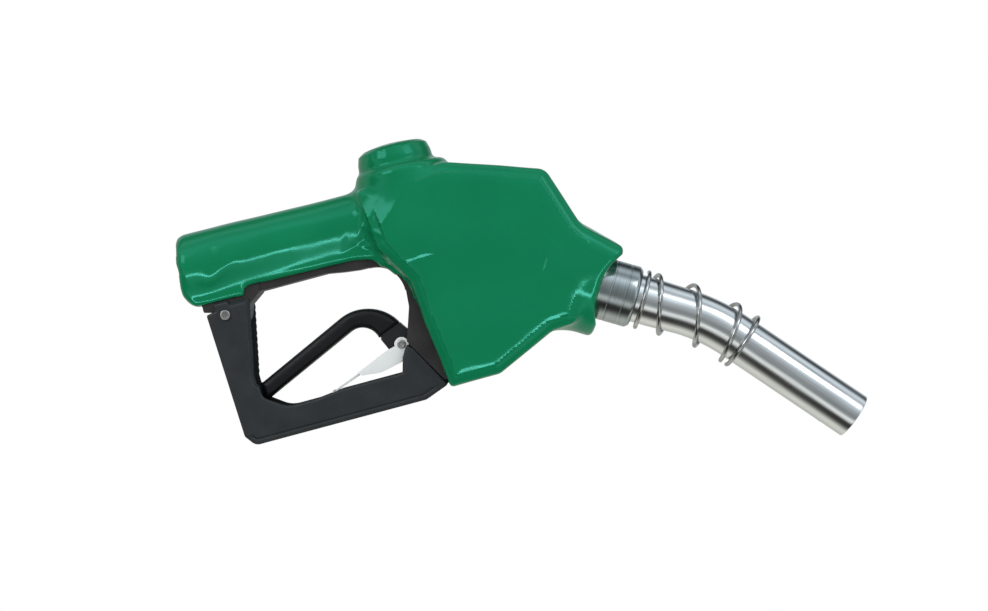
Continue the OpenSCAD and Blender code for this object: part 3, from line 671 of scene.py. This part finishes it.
def cast_solid(x, y, z, gap):
    """The casting's block, handle and neck, and its tower with the cap, grown by gap."""
    side = np.abs(y)
    edge = outline_field(BODY_EDGE, x, z)
    solid = np.maximum(edge + RAISED_IN - gap, side - CAST_HALF_W - gap)
    solid = np.minimum(solid, np.maximum(edge - gap, side - CAST_HALF_W + RAISED_BY - gap))
    solid = np.maximum(solid, facet(x, side - CAST_HALF_W - gap, z))
    taper = np.clip((x - 12) / 80, 0, 1) * (HANDLE_R - HANDLE_FRONT_R)
    radius = np.sqrt(y * y + z * z)
    handle = np.maximum(radius - HANDLE_R + taper - gap, np.maximum(-x, x - 116))
    handle = np.maximum(handle, (radius - x - HANDLE_R + HANDLE_RIM - gap) / 1.42)
    solid = np.minimum(solid, handle)
    post = np.sqrt((x - VALVE_X) ** 2 + y * y) - TOWER_R - gap
    chamfer = (1.7 * post + 3 * (z - TOWER_BEVEL_FROM - gap)) / 3.45
    post = np.maximum(np.maximum(post, chamfer), np.maximum(z - TOWER_TOP - gap, -20 - z))
    solid = np.minimum(solid, post)
    s, u = along_outlet(x, z)
    out = np.sqrt(u * u + y * y)
    return np.minimum(solid, np.maximum(out - NECK_R - gap, np.maximum(s + 6 - gap, -34 - s)))


# Boxes that leave the skin open, each as its low and its high corner
OPEN_BOXES = [
    ((5.9, -10.6, -30), (98.9, 10.6, -6)),  # the rib under the handle
    ((3.9, -11.3, -30), (39, 11.3, -12)),  # the lug that the guard hangs on
    ((106, -14.1, -94.1), (130.1, 14.1, -33)),  # the leg in front of the lever
    ((92, -10.6, -42), (120, 10.6, -12)),  # the arch between rib and leg
    ((102, -9.6, -120), (127.5, 9.6, -39)),  # the lever's slot
]


def cast_inside(x, y, z):
    """Room for the casting and what stands out of it."""
    room = cast_solid(x, y, z, 0.1)
    room = np.minimum(room, np.maximum(np.sqrt(y * y + z * z) - HANDLE_R + LIP, x - 3))
    s, u = along_outlet(x, z)
    room = np.minimum(room, np.maximum(np.sqrt(u * u + y * y) - COLLAR_R - LIP, -10 - s))
    for low, high in OPEN_BOXES:
        room = np.minimum(room, box_field(x, y, z, low, high))
    return room


def cover_outside(x, y, z):
    """The skin's outside: block, handle, skirt, tower with its cap, and outlet neck."""
    side = np.abs(y)
    edge = outline_field(COVER_EDGE, x, z) - COVER_T
    block = keep(edge, side - PANEL_Y, 2.0)
    block = keep(block, (4.2 * edge + 6.2 * (side - PANEL_Y) + 26) / 7.49, 2.5)
    block = keep(block, facet(x, side - PANEL_Y, z), 9)
    radius = GRIP_R - GRIP_TAPER * np.clip((x - 10) / 80, 0, 1)
    handle = np.sqrt(y * y + z * z) - radius
    handle = keep(handle, 0.07 * z - 0.4 - x, 5)
    handle = keep(handle, x - 120, 1)
    skirt = keep(outline_field(SKIRT_EDGE, x, z), side - SKIRT_HALF_W, 3.5)
    grip = join(handle, skirt, 5)
    ledge = np.sqrt((x - LEDGE_X) ** 2 + y * y) - LEDGE_R
    ledge = keep(keep(ledge, z - LEDGE_TOP, 4), -30 - z, 1)
    post_r = np.sqrt((x - VALVE_X) ** 2 + y * y)
    post = keep(post_r - POST_R, z - POST_TOP, 2)
    cap = keep(post_r - CAP_R, z - CAP_TOP + 3.0 * (post_r / 20) ** 2, 6.5)
    cap = keep(cap, CAP_LOW - z, 1.5)
    tower = join(join(post, cap, 1.2), ledge, 6)
    tower = keep(tower, -25 - z, 1)
    s, u = along_outlet(x, z)
    rise = np.clip((1 - s) / 27, 0, 1.4)
    shift = -1.8 + NECK_FLARE * rise
    neck_r = NECK_SKIN_R + NECK_FLARE * rise - 1.4 * np.exp(-((s - 2) / 3) ** 2)
    neck = np.sqrt((u - shift) ** 2 + (y * neck_r / 25.3) ** 2) - neck_r
    across = np.clip(u / 20, -1, 1)
    mouth = s - 0.2 - 1.4 * across + 6.0 * (1 - across ** 2)
    neck = keep(neck, -34 - s, 1)
    whole = keep(join(block, neck, 6), mouth, 3.2)
    whole = join(whole, grip, 7)
    whole = join(whole, tower, 4)
    whole = whole + ripples(x, y, z) - dimple(x, z, FOLDS)
    return join(whole, cast_solid(x, y, z, THINNEST), 1.5)


def cover_field(x, y, z):
    """The skin, hollowed out for the casting."""
    return cut(cover_outside(x, y, z), cast_inside(x, y, z), 0.7)


COVER_LOW, COVER_HIGH = (-6, -30, -103), (240, 30, 42)
cover = field_object("vinyl_cover", cover_field, COVER_LOW, COVER_HIGH, 1.0, VINYL)
painted.objects.link(cover)
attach(cover, "nozzle_body")
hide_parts("hand_insulator")


# ---- Lever sleeve ---------------------------------------------------------------------

def sleeve_points(t):
    """Side outline of the sleeve, thinned all round by t."""
    hump, inner, slope_to = (85.5, -69), (83.5, -65.4), 114
    points = [(25.3 + t, -70.6 - t)] + arc(hump, 23.5 - t, slope_to, 27, 20)
    points += arc(inner, 10.2 + t, 12, slope_to, 16) + [(25.3 + t, -80.4 + t)]
    return np.array(points)


SLEEVE_OUT, SLEEVE_IN = sleeve_points(0), sleeve_points(1.95)
ARM_ROOM = np.array([
    (96, -57), (106.3, -57.9), (111.5, -65.4), (121.3, -69.5), (121, -85), (104.5, -75),
    (97.5, -71.6), (94.3, -64.5),
])


def sleeve_field(x, y, z):
    """The grip: a hollow moulding open to the lever's arm."""
    side = np.abs(y)
    grip = keep(outline_field(SLEEVE_OUT, x, z), side - SLEEVE_HALF_W, 4.5)
    grip = cut(grip, np.maximum(outline_field(SLEEVE_IN, x, z), side - 5.05), 0.4)
    return cut(grip, np.maximum(outline_field(ARM_ROOM, x, z) - 0.05, side - 6.55), 0.4)


SLEEVE_LOW, SLEEVE_HIGH = (22, -11, -84), (114, 11, -42)
sleeve = field_object("lever_sleeve_grip", sleeve_field, SLEEVE_LOW, SLEEVE_HIGH, 0.6, SLEEVE)
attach(sleeve, "hand_lever")
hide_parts("lever_sleeve")


# ---- Spout, collar and hook spring --------------------------------------------------------

SEATED = 12  # how far the tube and the collar reach into the body
PORT_FROM_END = 15  # the sensing port's place


def spout_profile():
    """Closed profile of the tube: outside from the body to the tip, rim, and bore back."""
    rim, root_r, thin_from = 0.45, 13.2, 26
    points = [(s, root_r) for s in (-SEATED, 0, 12, thin_from)]
    points += [(s, root_r - (root_r - SPOUT_R) * (s - thin_from) / 16.5)
               for s in np.linspace(29, 42.5, 5)]
    points += [(s, SPOUT_R) for s in np.linspace(45, SPOUT_END - 2, 34)]
    points += round_edge(SPOUT_END - rim, SPOUT_R - rim, rim, 90, 0)
    points += round_edge(SPOUT_END - rim, BORE_R + rim, rim, 0, -90)
    points += [(s, BORE_R) for s in np.linspace(SPOUT_END - 2, -SEATED, 44)]
    return points


def collar_profile():
    """Closed profile of the collar: two fine turned grooves and a bevelled front."""
    hole_r, depth = 13.35, 0.12
    points = [(-SEATED, hole_r), (-SEATED, COLLAR_R - 0.4), (-11.6, COLLAR_R)]
    for groove in (1.5, 9.5):
        points += [(groove - 0.5, COLLAR_R), (groove - 0.35, COLLAR_R - depth)]
        points += [(groove + 0.35, COLLAR_R - depth), (groove + 0.5, COLLAR_R)]
    points += [(13.9, COLLAR_R), (14.3, COLLAR_R - 0.1), (15.7, COLLAR_R - 1.2)]
    points += [(16.1, COLLAR_R - 1.7), (16.2, COLLAR_R - 2.2)]
    return points + [(16.2, 13.9), (15.9, 13.5), (15.5, hole_r)]


def drill(obj, centre, direction, radius, depth):
    """Bores a round hole in a piece; centre and sizes are in millimetres."""
    sides = 32
    direction = Vector(direction).normalized()
    side = direction.orthogonal().normalized()
    up = direction.cross(side)
    vertices = []
    for t in (-depth / 2, depth / 2):
        for k in range(sides):
            a = 2 * math.pi * k / sides
            out = math.cos(a) * side + math.sin(a) * up
            vertices.append(Vector(centre) + t * direction + radius * out)
    faces = [(k, (k + 1) % sides, sides + (k + 1) % sides, sides + k) for k in range(sides)]
    faces += [tuple(range(sides - 1, -1, -1)), tuple(range(sides, 2 * sides))]
    tool = mesh_object("drill", vertices, faces, obj.data.materials[0])
    bore = obj.modifiers.new("bore", "BOOLEAN")
    bore.operation = "DIFFERENCE"
    bore.solver = "EXACT"
    bore.object = tool
    depsgraph = bpy.context.evaluated_depsgraph_get()
    drilled = bpy.data.meshes.new_from_object(obj.evaluated_get(depsgraph))
    obj.modifiers.clear()
    obj.data = drilled
    bpy.data.objects.remove(tool)


def smooth_by_angle(obj, degrees):
    """Smooth shading with edges sharper than the angle left crisp."""
    obj.data.set_sharp_from_angle(angle=math.radians(degrees))


spout = turned("spout", spout_profile(), SPOUT)
port_point, port_angle = spout_point(SPOUT_END - PORT_FROM_END)
below = Vector((-math.sin(port_angle), 0, -math.cos(port_angle)))
drill(spout, port_point + 12 * below, below, 1.6, 8)
smooth_by_angle(spout, 40)
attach(spout, "nozzle_body")
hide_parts("spout_tube")

collar = turned("collar", collar_profile(), COLLAR)
smooth_by_angle(collar, 35)
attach(collar, "nozzle_body")
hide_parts("spout_collar")


def hook_path():
    """Centreline of the hook spring: close coils at its ends, open between."""
    half_turns, steps, radius = 9, 40, 15.4
    start, end = 19.5, 77.6
    points = []
    for i in range(half_turns * steps + 1):
        h = i / steps
        u = min(1, max(0, (h - 0.7) / 7.5))
        open_part = (end - start) * u * u * (3 - 2 * u)
        s = start + open_part + 0.45 * h - 0.03 * h * h
        p, a = spout_point(s)
        above = Vector((math.sin(a), 0, math.cos(a)))
        out = math.cos(math.pi * h) * above + math.sin(math.pi * h) * Vector((0, -1, 0))
        points.append(p + radius * out)
    return points


hook = wire("hook_spring_wire", hook_path(), 1.15, WIRE)
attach(hook, "nozzle_body")
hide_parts("hook_spring")


# ---- Lever guard and its screws ------------------------------------------------------------

GUARD_EDGE = rounded(GUARD_SIDE)


def guard_field(x, y, z):
    """Two plates and a web round the lever, with a grooved lower border and a front tongue."""
    side = np.abs(y)
    edge = outline_field(GUARD_EDGE, x, z)
    low = np.clip((-95.5 - z) / 1.5, 0, 1)
    step = 0.5 * np.clip((edge + 3.3) / 0.7, 0, 1)
    groove = 0.6 * np.exp(-((edge + 3.1) / 0.5) ** 2)
    plates = keep(edge, side - GUARD_HALF_W + low * (step + groove), 1.5)
    bevel = (edge + side - GUARD_HALF_W + 3.4) / 1.42
    bevel = bevel - 5 * np.clip((21 - x) / 3, 0, 1) - 5 * np.clip((-70 - z) / 8, 0, 1)
    plates = keep(plates, bevel, 0.5)
    plates = cut(plates, np.maximum(outline_field(np.array(CHANNEL), x, z), side - GUARD_IN), 0.5)
    pin = np.sqrt((x - GUARD_PIN[0]) ** 2 + (z - GUARD_PIN[1]) ** 2)
    tongue = np.minimum(outline_field(np.array(TONGUE), x, z), pin - 3)
    plates = join(plates, np.maximum(tongue, side - 9.3), 0.4)
    hole = np.sqrt((x - GUARD_SCREW[0]) ** 2 + (z - GUARD_SCREW[1]) ** 2) - 2
    return cut(plates, np.minimum(hole, pin - 1.6), 0.2)


GUARD_LOW, GUARD_HIGH = (5, -15.5, -104), (135, 15.5, -21)
guard = field_object("lever_guard_shell", guard_field, GUARD_LOW, GUARD_HIGH, 0.7, GUARD)
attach(guard, "nozzle_body")
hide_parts("lever_guard")


def hexagon(u, v, half_width):
    return np.maximum(np.abs(u), 0.5 * np.abs(u) + 0.866 * np.abs(v)) - half_width


def screw_head(u, v, t, radius, height):
    """A domed head with a hexagonal socket; t is the height above the face it sits on."""
    out = np.sqrt(u * u + v * v)
    head = keep(keep(out - radius, t - height + 0.25 * (out / radius) ** 2, 0.5), -t, 0.1)
    return cut(head, np.maximum(hexagon(u, v, 0.5 * radius), height * 0.25 - t), 0.12)


def guard_screw_field(x, y, z):
    """The screw through the guard and the lug, head on the near side and nut on the far one."""
    u, v = x - GUARD_SCREW[0], z - GUARD_SCREW[1]
    out = np.sqrt(u * u + v * v)
    shank = keep(out - 1.95, np.abs(y) - 14.3, 0.3)
    nut = keep(keep(hexagon(u, v, 3.0), np.maximum(y - 16, 14 - y), 0.3), out - 3.25, 0.3)
    head = screw_head(u, v, -y - 14, 2.8, 1.6)
    return np.minimum(np.minimum(shank, nut), head)


def clip_pin_field(x, y, z):
    """The clip's pivot pin, with a head at each end."""
    u, v = x - CLIP_PIN[0], z - CLIP_PIN[1]
    shank = keep(np.sqrt(u * u + v * v) - 1.5, np.abs(y) - 9, 0.3)
    return np.minimum(shank, screw_head(u, v, np.abs(y) - 8.75, 2.35, 0.75))


def screw(name, field, centre, reach, half_length, body, node):
    """Makes a screw's or a pin's piece round its centre (x, z)."""
    low = (centre[0] - reach, -half_length, centre[1] - reach)
    high = (centre[0] + reach, half_length, centre[1] + reach)
    obj = field_object(name, field, low, high, 0.2, SCREW)
    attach(obj, body)
    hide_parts(node)


screw("guard_socket_screw", guard_screw_field, GUARD_SCREW, 3.6, 16.6, "nozzle_body", "guard_screw")
screw("clip_socket_pin", clip_pin_field, CLIP_PIN, 3.0, 10.0, "hand_lever", "clip_pin")


# ---- The other CAD nodes ---------------------------------------------------------------

SLOT_OF = {sub["node"]: sub["material_slot"] for sub in frame["record"]["subparts"]}
REPLACED = (
    "hand_insulator", "lever_sleeve", "spout_tube", "spout_collar", "hook_spring", "lever_guard",
    "guard_screw", "clip_pin",
)
for name, obj in nodes.items():
    if name not in REPLACED:
        obj.data.materials.clear()
        obj.data.materials.append(CLIP if name == "hold_open_clip" else BY_SLOT[SLOT_OF[name]])

soften("body_casting", 0.7)
soften("lever", 0.5)
soften("hold_open_clip", 0.35)
soften("hold_open_rack", 0.3)
